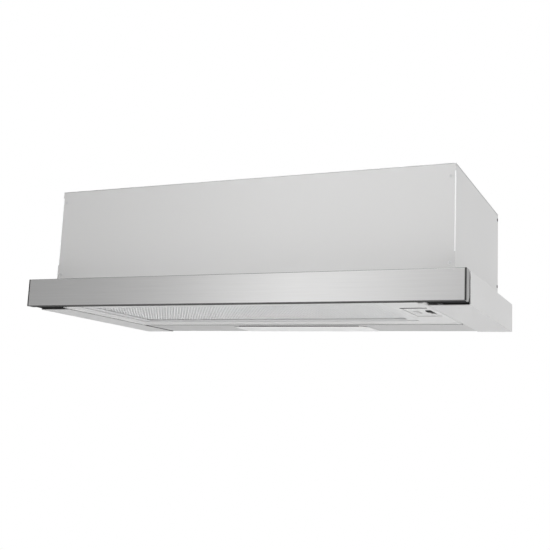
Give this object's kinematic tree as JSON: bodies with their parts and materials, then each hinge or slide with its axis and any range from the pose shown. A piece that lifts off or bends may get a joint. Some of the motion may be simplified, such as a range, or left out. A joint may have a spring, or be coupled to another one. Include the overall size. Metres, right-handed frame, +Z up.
{
  "type": "telescopic cooker hood",
  "caption": "Slim under-cabinet cooker hood with a stainless fascia on a pull-out drawer, grease filter, lamp cover and centrifugal blower.",
  "frame": {"origin": "on the plane of the base's underside, at the middle of the closed hood's width and depth", "axes": "+X to the right along the fascia, -Y out of the fascia towards the user, +Z up through the duct outlet"},
  "size_m": [0.598, 0.308, 0.195],
  "materials": {
    "stainless": "brushed, satin, horizontal grain",
    "painted_steel": "fine satin silver-grey paint",
    "galvanised_steel": "zinc coated",
    "grey_plastic": "light grey, fine satin",
    "black_plastic": "matt black",
    "dark_trim": "dark grey, satin",
    "aluminium": "plain rolled",
    "aluminium_mesh": "expanded metal mesh",
    "lens": "translucent, frosted",
    "lamp_glass": "frosted glass",
    "white_ceramic": "glazed",
    "copper": "enamelled copper wire",
    "iron_core": "laminated",
    "steel": "ground",
    "bronze": "sintered, oily"
  },
  "bodies": {
    "housing": {"housing_front_panel": "painted_steel", "housing_left_side": "painted_steel", "housing_right_side": "painted_steel", "housing_back_panel": "galvanised_steel", "housing_top_panel": "galvanised_steel", "inlet_deck": "galvanised_steel", "base_left_cheek": "painted_steel", "base_right_cheek": "painted_steel", "base_rear_panel": "painted_steel", "base_seals": "black_plastic", "cheek_end_caps": "black_plastic", "rail_outer_members": "steel", "lamp_housing": "galvanised_steel", "lamp_holders": "white_ceramic", "lamp_bulbs": "lamp_glass", "scroll_left_half": "galvanised_steel", "scroll_right_half": "galvanised_steel", "motor_stator": "iron_core", "motor_windings": "copper", "motor_cup_front": "galvanised_steel", "motor_cup_rear": "galvanised_steel", "motor_bearings": "bronze", "motor_bracket": "galvanised_steel", "outlet_adaptor": "black_plastic", "outlet_collar": "black_plastic", "damper_spindle": "steel", "capacitor": "grey_plastic", "terminal_box": "black_plastic", "terminal_box_cover": "black_plastic", "cable_gland": "black_plastic", "microswitch_body": "black_plastic", "housing_screws": "steel", "side_rivets": "steel"},
    "drawer": {"fascia_panel": "stainless", "fascia_trims": "dark_trim", "fascia_end_left": "grey_plastic", "fascia_end_right": "grey_plastic", "fascia_carrier": "black_plastic", "drawer_frame": "grey_plastic", "drawer_side_left": "galvanised_steel", "drawer_side_right": "galvanised_steel", "drawer_top_cover": "galvanised_steel", "filter_spring_clips": "steel", "control_plate": "grey_plastic", "switch_module": "black_plastic", "rail_inner_members": "steel"},
    "grease_filter": {"filter_frame": "aluminium", "filter_mesh": "aluminium_mesh", "filter_pivot_pins": "steel"},
    "fan_knob": {"fan_slider": "black_plastic"},
    "light_knob": {"light_slider": "grey_plastic"},
    "rail_left": {"rail_middle_left": "steel"},
    "rail_right": {"rail_middle_right": "steel"},
    "fan_wheel": {"impeller": "grey_plastic", "motor_shaft": "steel", "motor_rotor": "iron_core"},
    "flap_front": {"damper_flap_front": "black_plastic"},
    "flap_rear": {"damper_flap_rear": "black_plastic"},
    "lamp_cover": {"lamp_lens": "lens"},
    "door_switch": {"microswitch_plunger": "black_plastic"}
  },
  "joints": [
    {"name": "drawer_slide", "type": "slide", "parent": "housing", "child": "drawer", "axis": [0, -1, 0], "range_m": [0, 0.17]},
    {"name": "rail_left_slide", "type": "slide", "parent": "housing", "child": "rail_left", "axis": [0, -1, 0], "range_m": [0, 0.085]},
    {"name": "rail_right_slide", "type": "slide", "parent": "housing", "child": "rail_right", "axis": [0, -1, 0], "range_m": [0, 0.085]},
    {"name": "filter_swing", "type": "hinge", "parent": "drawer", "child": "grease_filter", "pos_m": [0, -0.133, 0.0038], "axis": [-1, 0, 0], "range_deg": [0, 75]},
    {"name": "fan_speed", "type": "slide", "parent": "drawer", "child": "fan_knob", "axis": [0, 1, 0], "range_m": [0, 0.024]},
    {"name": "light_switch", "type": "slide", "parent": "drawer", "child": "light_knob", "axis": [0, 1, 0], "range_m": [0, 0.009]},
    {"name": "wheel_spin", "type": "hinge", "parent": "housing", "child": "fan_wheel", "pos_m": [0, 0.005, 0.1035], "axis": [1, 0, 0], "continuous": true},
    {"name": "flap_front_lift", "type": "hinge", "parent": "housing", "child": "flap_front", "pos_m": [0, 0.048, 0.1752], "axis": [-1, 0, 0], "range_deg": [0, 75]},
    {"name": "flap_rear_lift", "type": "hinge", "parent": "housing", "child": "flap_rear", "pos_m": [0, 0.048, 0.1752], "axis": [1, 0, 0], "range_deg": [0, 75]},
    {"name": "lamp_cover_drop", "type": "hinge", "parent": "housing", "child": "lamp_cover", "pos_m": [0, 0.1502, 0.0024], "axis": [1, 0, 0], "range_deg": [0, 85]},
    {"name": "door_switch_press", "type": "slide", "parent": "housing", "child": "door_switch", "axis": [0, 1, 0], "range_m": [0, 0.0012], "stiffness_N_per_m": 150, "springref_m": -0.001}
  ],
  "couplings": [
    {"joint": "rail_left_slide", "follows": "drawer_slide", "ratio": 0.5},
    {"joint": "rail_right_slide", "follows": "drawer_slide", "ratio": 0.5}
  ]
}
